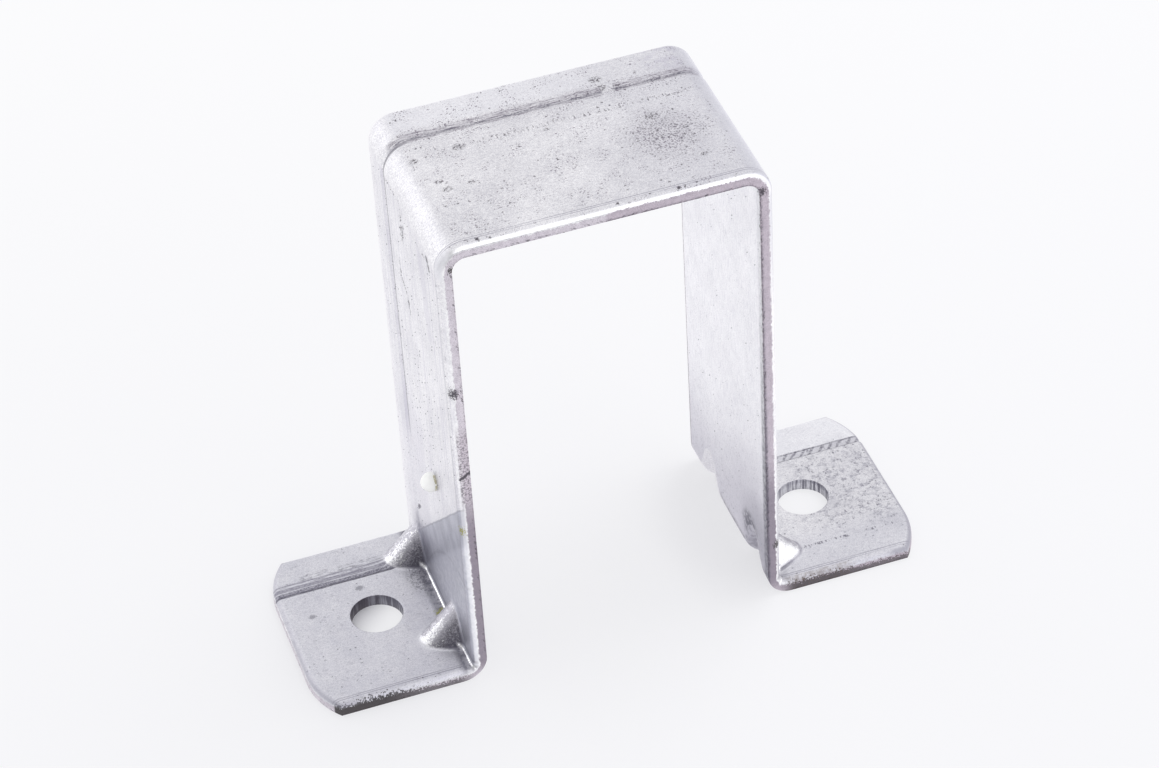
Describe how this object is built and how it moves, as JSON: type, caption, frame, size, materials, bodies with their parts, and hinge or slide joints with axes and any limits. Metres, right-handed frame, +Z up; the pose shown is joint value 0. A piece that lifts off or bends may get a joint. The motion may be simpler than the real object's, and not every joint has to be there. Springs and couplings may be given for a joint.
{
  "type": "rectangular post clamp",
  "caption": "Hat-shaped clamp folded from zinc-coated steel strip: a channel that wraps a rectangular post, with a drilled foot on each side to bolt it down.",
  "frame": {"origin": "middle of the clamp, on the plane of the undersides of the feet, halfway between the strip's front and rear edges", "axes": "+X across the post from foot to foot, +Y along the post towards the strip's creased edge, +Z up from the feet to the crown"},
  "size_m": [0.1152, 0.04, 0.0971],
  "materials": {
    "zinc_steel": "dull zinc coating with bare sheared edges"
  },
  "bodies": {
    "root": {"post_clamp": "zinc_steel"}
  },
  "joints": []
}
